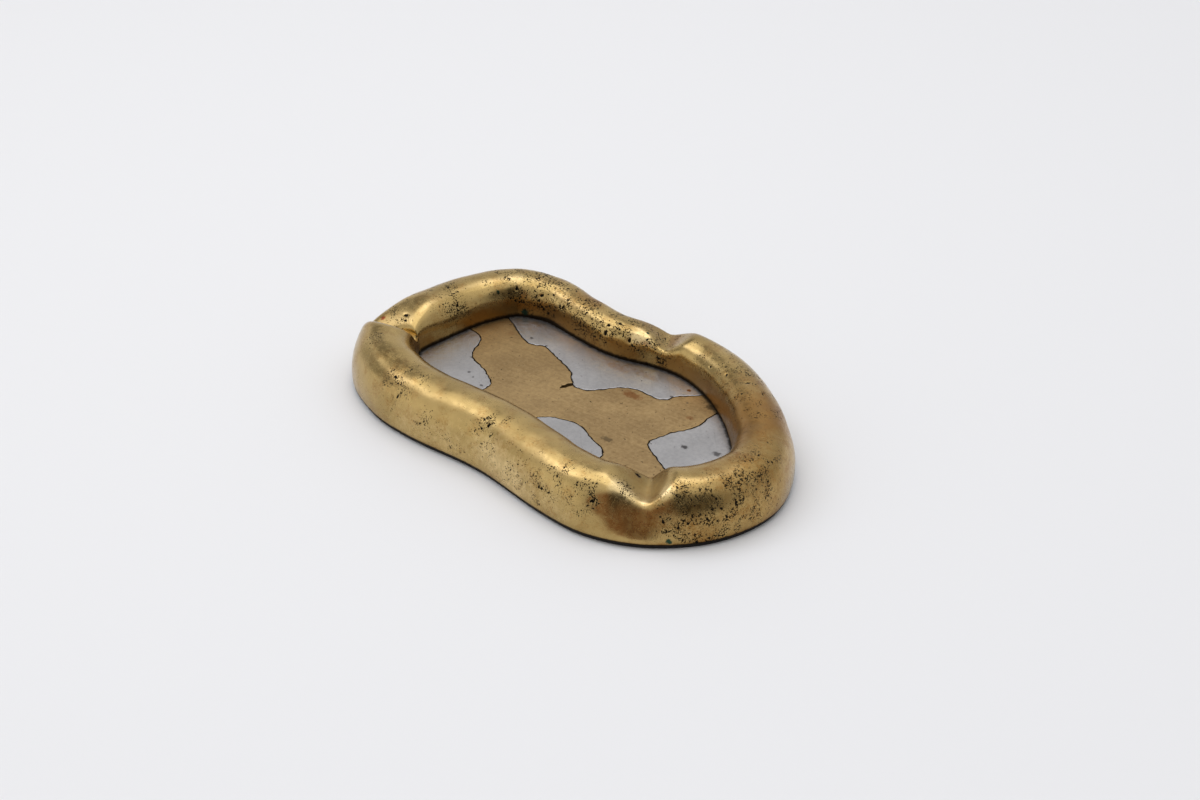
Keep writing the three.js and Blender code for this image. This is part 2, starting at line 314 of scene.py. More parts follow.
class NodeSheet:
    """A node tree that is filled in step by step."""

    def __init__(self, tree: bpy.types.NodeTree) -> None:
        """Starts on a tree that may hold nodes already."""
        self.tree = tree

    def feed(self, socket: bpy.types.NodeSocket, value: object) -> None:
        """Links an output to an input, or sets the input's own value.

        Args:
            socket: The input.
            value: An output or a plain value.
        """
        if isinstance(value, bpy.types.NodeSocket):
            self.tree.links.new(value, socket)
        else:
            socket.default_value = value

    def add(self, kind: str, inputs: dict | None = None, **settings: object) -> bpy.types.Node:
        """Adds a node.

        Args:
            kind: The node's type name.
            inputs: Values or outputs for its inputs, by name or number.
            settings: Properties of the node itself.

        Returns:
            The new node.
        """
        node = self.tree.nodes.new(kind)
        for key, value in settings.items():
            setattr(node, key, value)
        for key, value in (inputs or {}).items():
            self.feed(node.inputs[key], value)
        return node

    def math(self, operation: str, first: object, second: object = 0.0,
             third: object = 0.0) -> bpy.types.NodeSocket:
        """The result of a Math node on up to three values or outputs."""
        return self.add("ShaderNodeMath", {0: first, 1: second, 2: third}, operation=operation).outputs[0]

    def scaled(self, value: object, factor: object) -> bpy.types.NodeSocket:
        """A value times a factor."""
        return self.math("MULTIPLY", value, factor)

    def plus(self, base: object, value: object, factor: object) -> bpy.types.NodeSocket:
        """A base plus a value times a factor."""
        return self.math("MULTIPLY_ADD", value, factor, base)

    def vector_math(self, operation: str, first: object, second: object = (0.0, 0.0, 0.0)) -> bpy.types.Node:
        """A Vector Math node on one or two vectors."""
        return self.add("ShaderNodeVectorMath", {0: first, 1: second}, operation=operation)

    def ramp(self, value: object, low: object, high: object, bottom: object = 0.0,
             top: object = 1.0) -> bpy.types.NodeSocket:
        """A soft step of a value.

        Args:
            value: The value to step.
            low: The value where the step starts.
            high: The value where it ends. It may be below low.
            bottom: The result at low.
            top: The result at high.

        Returns:
            The stepped value.
        """
        node = self.add("ShaderNodeMapRange", interpolation_type="SMOOTHSTEP")
        for socket, given in zip(node.inputs, (value, low, high, bottom, top)):
            self.feed(socket, given)
        return node.outputs[0]

    def mix(self, share: object, first: object, second: object) -> bpy.types.NodeSocket:
        """A colour between two colours."""
        node = self.add("ShaderNodeMix", {0: share, 6: first, 7: second}, data_type="RGBA")
        return node.outputs[2]

    def noise(self, place: object, scale: object, detail: float = 3.0, roughness: float = 0.5,
              distortion: float = 0.0) -> bpy.types.NodeSocket:
        """The grey value of a Noise Texture node.

        Args:
            place: Where the noise is read.
            scale: How many lumps it has for each metre.
            detail: How many finer layers it has.
            roughness: How strong the finer layers are.
            distortion: How much it is twisted.

        Returns:
            The value, round about 0.5.
        """
        return self.add("ShaderNodeTexNoise", {
            "Vector": place, "Scale": scale, "Detail": detail, "Roughness": roughness,
            "Distortion": distortion}).outputs["Fac"]

    def bump(self, strength: float, depth: float, height: object) -> bpy.types.NodeSocket:
        """The normal of a surface that is uneven by a height, to a depth in millimetres."""
        inputs = {"Strength": strength, "Distance": depth * MM, "Height": height}
        return self.add("ShaderNodeBump", inputs).outputs[0]

    def attribute(self, name: str) -> bpy.types.NodeSocket:
        """The number that a mesh holds under a name."""
        return self.add("ShaderNodeAttribute", attribute_name=name).outputs["Fac"]

    def object_place(self) -> bpy.types.NodeSocket:
        """The surface's place in the object's own frame, in metres."""
        return self.add("ShaderNodeTexCoord").outputs["Object"]

    def effect(self, group: bpy.types.NodeTree, **inputs: object) -> bpy.types.NodeOutputs:
        """Places a shared effect.

        Args:
            group: The effect's node group.
            inputs: Values or outputs for the group's inputs.

        Returns:
            The outputs of the placed group.
        """
        return self.add("ShaderNodeGroup", inputs, node_tree=group).outputs


class MaterialSheet(NodeSheet):
    """The node tree of a new material with one Principled shader."""

    def __init__(self, name: str) -> None:
        """Makes the material.

        Args:
            name: The material's name.
        """
        self.material = bpy.data.materials.new(name)
        self.material.use_nodes = True
        super().__init__(self.material.node_tree)

    def shade(self, inputs: dict[str, object]) -> bpy.types.Material:
        """Finishes the material.

        Args:
            inputs: Values or outputs for the shader's inputs, by name.

        Returns:
            The material.
        """
        shader = self.tree.nodes["Principled BSDF"]
        for key, value in inputs.items():
            self.feed(shader.inputs[key], value)
        return self.material


class SharedEffect:
    """A shader node group that more than one finish uses."""

    def __init__(self, name: str, inputs: dict[str, str], outputs: tuple[str, ...]) -> None:
        """Makes the group with its sockets.

        Args:
            name: The group's name.
            inputs: The kind of socket for each input name.
            outputs: The names of the outputs, which are all plain numbers.
        """
        self.tree = bpy.data.node_groups.new(name, "ShaderNodeTree")
        for key, kind in inputs.items():
            self.tree.interface.new_socket(key, in_out="INPUT", socket_type=f"NodeSocket{kind}")
        for key in outputs:
            self.tree.interface.new_socket(key, in_out="OUTPUT", socket_type="NodeSocketFloat")
        self.sheet = NodeSheet(self.tree)
        self.given = self.sheet.add("NodeGroupInput").outputs
        self.result = self.sheet.add("NodeGroupOutput").inputs


class Effects:
    """The shared effects, each built once."""

    pit_brinks: Limits = (0.75, 0.56)
    pit_softness: float = 0.025
    fine_mottle: float = 9.0
    broad_edge: Limits = (0.32, 0.68)
    fine_edge: Limits = (0.3, 0.7)
    line_scale: Place = (60.0, 2200.0, 60.0)
    line_edge: Limits = (0.3, 0.7)
    scratch_scale: Place = (28.0, 1100.0, 28.0)
    scratch_edge: Limits = (0.66, 0.74)
    scratch_turn: float = 0.09
    patch_scale: float = 900.0
    patch_ragging: float = 1.4
    patch_edge: Limits = (1.6, 1.1)
    soil_and_shade_scale: float = 420.0
    soil_and_shade_breaking: float = 0.7
    soil_and_shade_edge: Limits = (0.12, 0.85)

    def __init__(self) -> None:
        """Builds every effect."""
        self.pits = self.build_pits()
        self.mottle = self.build_mottle()
        self.brushing = self.build_brushing()
        self.patch = self.build_patch()
        self.soil_and_shade = self.build_soil_and_shade()

    def build_pits(self) -> bpy.types.NodeTree:
        """Scattered ragged pits, as many as the density says.

        Returns:
            The node group.
        """
        effect = SharedEffect(
            "casting pits", {"Place": "Vector", "Scale": "Float", "Density": "Float"}, ("Mask",))
        sheet, given = effect.sheet, effect.given
        speckle = sheet.noise(given["Place"], given["Scale"], detail=2.0, roughness=0.55, distortion=0.7)
        brink = sheet.ramp(given["Density"], 0.0, 1.0, *self.pit_brinks)
        inside = sheet.math("ADD", brink, self.pit_softness)
        sheet.feed(effect.result["Mask"], sheet.ramp(speckle, brink, inside))
        return effect.tree

    def build_mottle(self) -> bpy.types.NodeTree:
        """Cloudy unevenness at a broad and a fine size.

        Returns:
            The node group.
        """
        effect = SharedEffect("mottling", {"Place": "Vector", "Scale": "Float"}, ("Broad", "Fine"))
        sheet, given = effect.sheet, effect.given
        finer = sheet.scaled(given["Scale"], self.fine_mottle)
        broad = sheet.noise(given["Place"], given["Scale"], detail=4.0, roughness=0.55)
        fine = sheet.noise(given["Place"], finer, roughness=0.6)
        sheet.feed(effect.result["Broad"], sheet.ramp(broad, *self.broad_edge))
        sheet.feed(effect.result["Fine"], sheet.ramp(fine, *self.fine_edge))
        return effect.tree

    def build_brushing(self) -> bpy.types.NodeTree:
        """Straight brush lines, turned in plan, with sparse scratches at a slant.

        Returns:
            The node group.
        """
        effect = SharedEffect("brushing", {"Place": "Vector", "Turn": "Vector"}, ("Lines", "Scratches"))
        sheet, given = effect.sheet, effect.given
        turned = sheet.add("ShaderNodeVectorRotate", {
            "Vector": given["Place"], "Rotation": given["Turn"]}, rotation_type="EULER_XYZ").outputs[0]
        drawn = sheet.add("ShaderNodeMapping", {"Vector": turned, "Scale": self.line_scale})
        slanted = sheet.add("ShaderNodeMapping", {
            "Vector": turned, "Rotation": (0.0, 0.0, self.scratch_turn), "Scale": self.scratch_scale})
        lines = sheet.noise(drawn.outputs[0], 1.0, roughness=0.65)
        scratches = sheet.noise(slanted.outputs[0], 1.0, detail=1.0)
        sheet.feed(effect.result["Lines"], sheet.ramp(lines, *self.line_edge))
        sheet.feed(effect.result["Scratches"], sheet.ramp(scratches, *self.scratch_edge))
        return effect.tree

    def build_patch(self) -> bpy.types.NodeTree:
        """One ragged patch round a centre.

        Returns:
            The node group.
        """
        inputs = {"Place": "Vector", "Centre": "Vector", "Reach": "Float", "Stretch": "Vector"}
        effect = SharedEffect("patch", inputs, ("Mask",))
        sheet, given = effect.sheet, effect.given
        away = sheet.vector_math("SUBTRACT", given["Place"], given["Centre"])
        squeezed = sheet.vector_math("MULTIPLY", away.outputs[0], given["Stretch"])
        length = sheet.vector_math("LENGTH", squeezed.outputs[0])
        share = sheet.math("DIVIDE", length.outputs["Value"], given["Reach"])
        ragged = sheet.noise(given["Place"], self.patch_scale, roughness=0.6)
        edge = sheet.plus(share, ragged, self.patch_ragging)
        sheet.feed(effect.result["Mask"], sheet.ramp(edge, *self.patch_edge))
        return effect.tree

    def build_soil_and_shade(self) -> bpy.types.NodeTree:
        """A mark that shows where its amount is high, broken up by noise; used for dirt with painted shade,
        for tarnish and for painted highlights.

        Returns:
            The node group.
        """
        effect = SharedEffect("soil_and_shade", {"Place": "Vector", "Amount": "Float"}, ("Mask",))
        sheet, given = effect.sheet, effect.given
        broken = sheet.noise(given["Place"], self.soil_and_shade_scale, detail=4.0, roughness=0.65)
        less = sheet.math("SUBTRACT", given["Amount"], self.soil_and_shade_breaking / 2.0)
        share = sheet.plus(less, broken, self.soil_and_shade_breaking)
        sheet.feed(effect.result["Mask"], sheet.ramp(share, *self.soil_and_shade_edge))
        return effect.tree


# Finishes


class Blemish(Enum):
    """Kinds of spot on the metal, with the colour of each."""

    VERDIGRIS = (0.026, 0.055, 0.032, 1.0)
    COPPER = (0.23, 0.06, 0.02, 1.0)
    STAIN = (0.22, 0.1, 0.034, 1.0)
    SCORCH = (0.1, 0.066, 0.03, 1.0)
    SOOT = (0.05, 0.045, 0.045, 1.0)


@dataclass(frozen=True)
class Spot:
    """One spot on a surface: its kind, its place and reach in millimetres, its squeeze and its strength."""

    kind: Blemish
    place: Place
    reach: float
    stretch: Place = (1.0, 1.0, 1.0)
    strength: float = 1.0


def add_spots(sheet: NodeSheet, effects: Effects, place: bpy.types.NodeSocket,
              colour: bpy.types.NodeSocket, spots: tuple[Spot, ...]) -> bpy.types.NodeSocket:
    """Lays spots over a colour.

    Args:
        sheet: The material's node sheet.
        effects: The shared effects.
        place: The surface's place.
        colour: The colour without spots.
        spots: The spots to lay.

    Returns:
        The colour with the spots.
    """
    for spot in spots:
        mask = sheet.effect(effects.patch, Place=place, Centre=metres(spot.place),
                            Reach=spot.reach * MM, Stretch=spot.stretch)["Mask"]
        colour = sheet.mix(sheet.scaled(mask, spot.strength), colour, spot.kind.value)
    return colour


def stored_mask(sheet: NodeSheet, effects: Effects, place: bpy.types.NodeSocket,
                name: str) -> bpy.types.NodeSocket:
    """Where a mark that the mesh stores under a name shows, broken up by noise."""
    return sheet.effect(effects.soil_and_shade, Place=place, Amount=sheet.attribute(name))["Mask"]


@dataclass(frozen=True)
class CastBrass:
    """Polished sand-cast brass with pits, cloudy tarnish partly painted as shade, painted highlights, and
    painted shade with some dirt in the corners.
    """

    name: str = "cast brass"
    # Cream colour of the painted highlights and the painted reflections.
    painted_highlight: Colour = (0.8, 0.61, 0.31, 1.0)
    polished: Colour = (0.5, 0.352, 0.14, 1.0)
    olive: Colour = (0.39, 0.272, 0.102, 1.0)
    # Brown of the tarnish, and of the painted shade and reflection low on the walls.
    brown: Colour = (0.28, 0.135, 0.03, 1.0)
    # Dark colour of dirt and of the painted shade in the corners.
    dirt_and_shade: Colour = (0.03, 0.02, 0.012, 1.0)
    hole: Colour = (0.012, 0.009, 0.006, 1.0)
    cloud_scale: float = 42.0
    stain_scale: float = 120.0
    stain_edge: Limits = (0.45, 1.0)
    stain_share: float = 0.5
    tarnish_and_shade_share: float = 0.75
    most_brown: float = 0.85
    roughness: Limits = (0.18, 0.28)
    tarnish_dulling: float = 0.12
    dirt_dulling: float = 0.4
    scuff_dulling: float = 0.25
    mottle_height: float = 0.1
    bump_strength: float = 0.5
    bump_depth: float = 0.2
    crowd_scale: float = 150.0
    crowd_edge: Limits = (0.38, 0.62)
    crowding: Limits = (0.4, 1.2)
    coarse_scale: float = 880.0
    fine_scale: float = 1600.0
    fine_share: float = 0.9
    least_fine: float = 0.15
    ragged_scale: float = 1300.0
    hollow_ragging: float = 1.3
    hollow_edge: Limits = (1.02, 1.17)
    spots: tuple[Spot, ...] = (
        Spot(Blemish.VERDIGRIS, (-79.7, 25.6, 21.2), 1.3),
        Spot(Blemish.VERDIGRIS, (-70.6, 33.9, 10.5), 2.6),
        Spot(Blemish.VERDIGRIS, (-4.1, 46.4, 21.7), 1.1),
        Spot(Blemish.VERDIGRIS, (94.7, -47.2, 4.4), 1.9),
        Spot(Blemish.COPPER, (-105.1, -23.4, 17.9), 1.7),
        Spot(Blemish.COPPER, (84.8, -45.2, 23.2), 1.1),
        Spot(Blemish.SOOT, (67.5, -36.5, 19.5), 2.2, strength=0.7),
    )

    def build(self, effects: Effects) -> bpy.types.Material:
        """Makes the material.

        Args:
            effects: The shared effects.

        Returns:
            The finished material.
        """
        sheet = MaterialSheet(self.name)
        place = sheet.object_place()
        cloud = sheet.effect(effects.mottle, Place=place, Scale=self.cloud_scale)
        stain = sheet.effect(effects.mottle, Place=place, Scale=self.stain_scale)
        holes = self.holes(sheet, effects, place)
        # Stored marks: tarnish with painted shade and reflection, painted highlights, and dirt with painted
        # shade.
        tarnish_and_shade, painted_highlight, dirt_and_shade = (
            stored_mask(sheet, effects, place, name) for name in ("tarnish_and_shade", "painted_highlight", "soil_and_shade"))
        stained = sheet.scaled(sheet.ramp(stain["Broad"], *self.stain_edge), stain["Fine"])
        browned = sheet.plus(sheet.scaled(tarnish_and_shade, self.tarnish_and_shade_share), stained, self.stain_share)
        colour = sheet.mix(cloud["Broad"], self.polished, self.olive)
        colour = sheet.mix(sheet.math("MINIMUM", browned, self.most_brown), colour, self.brown)
        # Painted highlights and painted reflection of the table, in cream over the colour.
        colour = sheet.mix(painted_highlight, colour, self.painted_highlight)
        # Painted shade in the corners at the foot of the walls, with some dirt.
        colour = sheet.mix(dirt_and_shade, colour, self.dirt_and_shade)
        colour = add_spots(sheet, effects, place, colour, self.spots)
        clean = sheet.ramp(cloud["Fine"], 0.0, 1.0, *self.roughness)
        worn = sheet.plus(clean, tarnish_and_shade, self.tarnish_dulling)
        dull = sheet.plus(worn, sheet.math("MAXIMUM", holes, dirt_and_shade), self.dirt_dulling)
        height = sheet.plus(sheet.scaled(holes, -1.0), cloud["Fine"], self.mottle_height)
        return sheet.shade({
            "Base Color": sheet.mix(holes, colour, self.hole),
            "Roughness": sheet.plus(dull, sheet.attribute("scuffing"), self.scuff_dulling),
            "Metallic": 1.0,
            "Normal": sheet.bump(self.bump_strength, self.bump_depth, height),
        })

    def holes(self, sheet: NodeSheet, effects: Effects, place: bpy.types.NodeSocket) -> bpy.types.NodeSocket:
        """Where the metal is pitted, from coarse and fine pits and the hollows that are dug.

        Args:
            sheet: The material's node sheet.
            effects: The shared effects.
            place: The surface's place.

        Returns:
            The mask of all holes.
        """
        patchy = sheet.noise(place, self.crowd_scale, detail=2.0)
        crowded = sheet.ramp(patchy, *self.crowd_edge, *self.crowding)
        density = sheet.scaled(sheet.attribute("pitting"), crowded)
        more = sheet.plus(self.least_fine, density, self.fine_share)
        coarse = sheet.effect(effects.pits, Place=place, Scale=self.coarse_scale, Density=density)
        fine = sheet.effect(effects.pits, Place=place, Scale=self.fine_scale, Density=more)
        ragged = sheet.noise(place, self.ragged_scale, roughness=0.65)
        edge = sheet.plus(sheet.attribute("hollow"), ragged, self.hollow_ragging)
        pits = sheet.math("MAXIMUM", coarse["Mask"], fine["Mask"])
        return sheet.math("MAXIMUM", pits, sheet.ramp(edge, *self.hollow_edge))


@dataclass(frozen=True)
class BrushedMetal:
    """Flat brushed metal with painted shade and some dirt along the rim, dark seams, a few pits, scratches
    and stains.
    """

    name: str
    bright: Colour
    dull: Colour
    # Dark colour for dirt, for the painted shade along the rim and for scratches.
    dirt_and_shade: Colour
    roughness: Limits
    turn_degrees: float
    brushing: float = 0.15
    pitting: float = 0.3
    cloud_scale: float = 55.0
    cloud_share: float = 0.5
    pit_scale: float = 760.0
    scratch_share: float = 0.12
    dirt_dulling: float = 0.25
    line_height: float = 0.4
    bump_strength: float = 0.4
    bump_depth: float = 0.2
    spots: tuple[Spot, ...] = ()

    def build(self, effects: Effects) -> bpy.types.Material:
        """Makes the material.

        Args:
            effects: The shared effects.

        Returns:
            The finished material.
        """
        sheet = MaterialSheet(self.name)
        place = sheet.object_place()
        turn = (0.0, 0.0, math.radians(self.turn_degrees))
        cloud = sheet.effect(effects.mottle, Place=place, Scale=self.cloud_scale)
        brushed = sheet.effect(effects.brushing, Place=place, Turn=turn)
        pits = sheet.effect(effects.pits, Place=place, Scale=self.pit_scale, Density=self.pitting)["Mask"]
        # Darker next to the rim, as painted shade with some dirt, along the seams and in the pits.
        dark = sheet.math("MAXIMUM", stored_mask(sheet, effects, place, "soil_and_shade"), pits)
        grain = sheet.plus(sheet.scaled(cloud["Fine"], self.cloud_share), brushed["Lines"], self.brushing)
        tone = sheet.plus(grain, cloud["Broad"], self.cloud_share)
        colour = sheet.mix(tone, self.bright, self.dull)
        colour = sheet.mix(sheet.scaled(brushed["Scratches"], self.scratch_share), colour, self.dirt_and_shade)
        colour = add_spots(sheet, effects, place, colour, self.spots)
        clean = sheet.ramp(cloud["Fine"], 0.0, 1.0, *self.roughness)
        low = sheet.plus(sheet.scaled(pits, -1.0), brushed["Scratches"], -self.brushing)
        height = sheet.plus(low, brushed["Lines"], self.brushing * self.line_height)
        return sheet.shade({
            "Base Color": sheet.mix(dark, colour, self.dirt_and_shade),
            "Roughness": sheet.plus(clean, dark, self.dirt_dulling),
            "Metallic": 1.0,
            "Normal": sheet.bump(self.bump_strength, self.bump_depth, height),
        })


class FloorMetal(Enum):
    """The two metals that the floor is pieced from, with the record's slot of each."""

    BRASS = "floor_brass"
    ALUMINIUM = "aluminium"


FLOOR_FINISHES = {
    FloorMetal.BRASS: BrushedMetal(
        name="brushed brass",
        bright=(0.475, 0.325, 0.147, 1.0),
        dull=(0.295, 0.195, 0.086, 1.0),
        dirt_and_shade=(0.05, 0.035, 0.02, 1.0),
        roughness=(0.37, 0.47),
        turn_degrees=-8.0,
        brushing=0.3,
        pitting=0.4,
        spots=(
            Spot(Blemish.STAIN, (11.6, 19.3, FLOOR_TOP), 4.4, (0.65, 1.3, 1.0), 0.95),
            Spot(Blemish.SCORCH, (28.0, -13.9, FLOOR_TOP), 3.1, (0.7, 1.4, 1.0), 0.75),
            Spot(Blemish.STAIN, (42.7, 23.3, FLOOR_TOP), 2.2, (0.8, 1.2, 1.0), 0.7),
            Spot(Blemish.STAIN, (62.0, 20.0, FLOOR_TOP), 6.0, (0.8, 1.0, 1.0), 0.4),
            Spot(Blemish.STAIN, (67.0, 14.5, FLOOR_TOP), 3.0, strength=0.6),
            Spot(Blemish.STAIN, (-64.5, 19.0, FLOOR_TOP), 3.0, strength=0.3),
            Spot(Blemish.SCORCH, (43.5, 36.2, FLOOR_TOP), 3.2, strength=0.85),
            Spot(Blemish.SOOT, (33.8, 31.5, FLOOR_TOP), 0.9, strength=0.6),
        ),
    ),
    FloorMetal.ALUMINIUM: BrushedMetal(
        name="brushed aluminium",
        bright=(0.5, 0.488, 0.48, 1.0),
        dull=(0.345, 0.337, 0.332, 1.0),
        dirt_and_shade=(0.06, 0.055, 0.05, 1.0),
        roughness=(0.29, 0.39),
        turn_degrees=43.0,
        brushing=0.01,
        spots=(
            Spot(Blemish.SOOT, (56.1, 4.8, FLOOR_TOP), 2.1, (0.8, 1.2, 1.0), 0.9),
            Spot(Blemish.SOOT, (69.8, 10.5, FLOOR_TOP), 2.6, (0.8, 1.2, 1.0), 0.8),
            Spot(Blemish.SOOT, (-61.5, -7.9, FLOOR_TOP), 1.6, (0.5, 1.8, 1.0), 0.8),
            Spot(Blemish.SOOT, (-54.5, -17.5, FLOOR_TOP), 1.1, strength=0.8),
            Spot(Blemish.SOOT, (-50.2, -19.3, FLOOR_TOP), 0.9, strength=0.7),
            Spot(Blemish.SOOT, (-42.5, -21.5, FLOOR_TOP), 1.2, (0.8, 1.4, 1.0), 0.8),
            Spot(Blemish.SOOT, (-54.9, 22.6, FLOOR_TOP), 1.2, strength=0.8),
            Spot(Blemish.SOOT, (-45.2, 22.2, FLOOR_TOP), 1.0, strength=0.8),
            Spot(Blemish.SOOT, (25.8, 30.4, FLOOR_TOP), 1.5, (0.7, 1.5, 1.0), 0.8),
            Spot(Blemish.STAIN, (27.5, 39.5, FLOOR_TOP), 1.5),
            Spot(Blemish.STAIN, (-10.0, 31.7, FLOOR_TOP), 5.0, (0.5, 1.6, 1.0), 0.28),
            Spot(Blemish.STAIN, (5.0, 35.5, FLOOR_TOP), 5.0, (0.5, 1.6, 1.0), 0.28),
        ),
    ),
}

SHEET_BRASS = BrushedMetal(
    name="raw sheet brass",
    bright=(0.3, 0.21, 0.08, 1.0),
    dull=(0.2, 0.14, 0.055, 1.0),
    dirt_and_shade=(0.03, 0.022, 0.014, 1.0),
    roughness=(0.47, 0.57),
    turn_degrees=20.0,
)


@dataclass(frozen=True)
class Felt:
    """Matt black felt with a faint tangle of fibres."""

    name: str = "black felt"
    dark: Colour = (0.005, 0.005, 0.005, 1.0)
    light: Colour = (0.018, 0.017, 0.018, 1.0)
    cloud_scale: float = 260.0
    cloud_share: float = 0.3
    fibre_scale: float = 3200.0
    fibre_share: float = 0.7
    fibre_twist: float = 1.6
    roughness: float = 0.95
    sheen: float = 0.03
    sheen_roughness: float = 0.6
    bump_strength: float = 0.7
    bump_depth: float = 0.3

    def build(self, effects: Effects) -> bpy.types.Material:
        """Makes the material.

        Args:
            effects: The shared effects.

        Returns:
            The finished material.
        """
        sheet = MaterialSheet(self.name)
        place = sheet.object_place()
        cloud = sheet.effect(effects.mottle, Place=place, Scale=self.cloud_scale)
        fibres = sheet.noise(place, self.fibre_scale, detail=4.0, roughness=0.75, distortion=self.fibre_twist)
        tangle = sheet.plus(sheet.scaled(cloud["Broad"], self.cloud_share), fibres, self.fibre_share)
        return sheet.shade({
            "Base Color": sheet.mix(tangle, self.dark, self.light),
            "Roughness": self.roughness,
            "Sheen Weight": self.sheen,
            "Sheen Roughness": self.sheen_roughness,
            "Normal": sheet.bump(self.bump_strength, self.bump_depth, fibres),
        })


def dress(piece: bpy.types.Object, material: bpy.types.Material, slot: str, *nodes: str) -> None:
    """Gives a piece its material and ties it to the frame.

    Args:
        piece: The finished piece.
        material: Its material.
        slot: The record's material slot; it is not used.
        nodes: The CAD nodes that it stands for.
    """
    piece.data.materials.clear()
    piece.data.materials.append(material)
    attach(piece, BODY)
    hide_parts(*nodes)
    log.info("%s: %d faces", piece.name, len(piece.data.polygons))


# Sub-assemblies


@dataclass(frozen=True)
class Cluster:
    """An area of the rim where marks gather, or thin out where the density is below 0.

    The centre and the reach are in millimetres.
    """

    place: Place
    reach: float
    density: float


def gathered(places: np.ndarray, clusters: tuple[Cluster, ...]) -> np.ndarray:
    """How dense the marks of all clusters are at each place.

    Args:
        places: Places in metres, one row each.
        clusters: The areas where the marks gather.

    Returns:
        The summed density at each place.
    """
    total = np.zeros(len(places))
    for cluster in clusters:
        away = np.linalg.norm(places / MM - np.array(cluster.place), axis=1) / cluster.reach
        total += cluster.density * np.exp(-away * away)
    return total


@dataclass(frozen=True)
class Flaw:
    """A hollow in the rim: its place and half sizes in millimetres, and its turn from level in degrees."""

    place: Place
    half_length: float
    half_width: float
    turn: float = 0.0


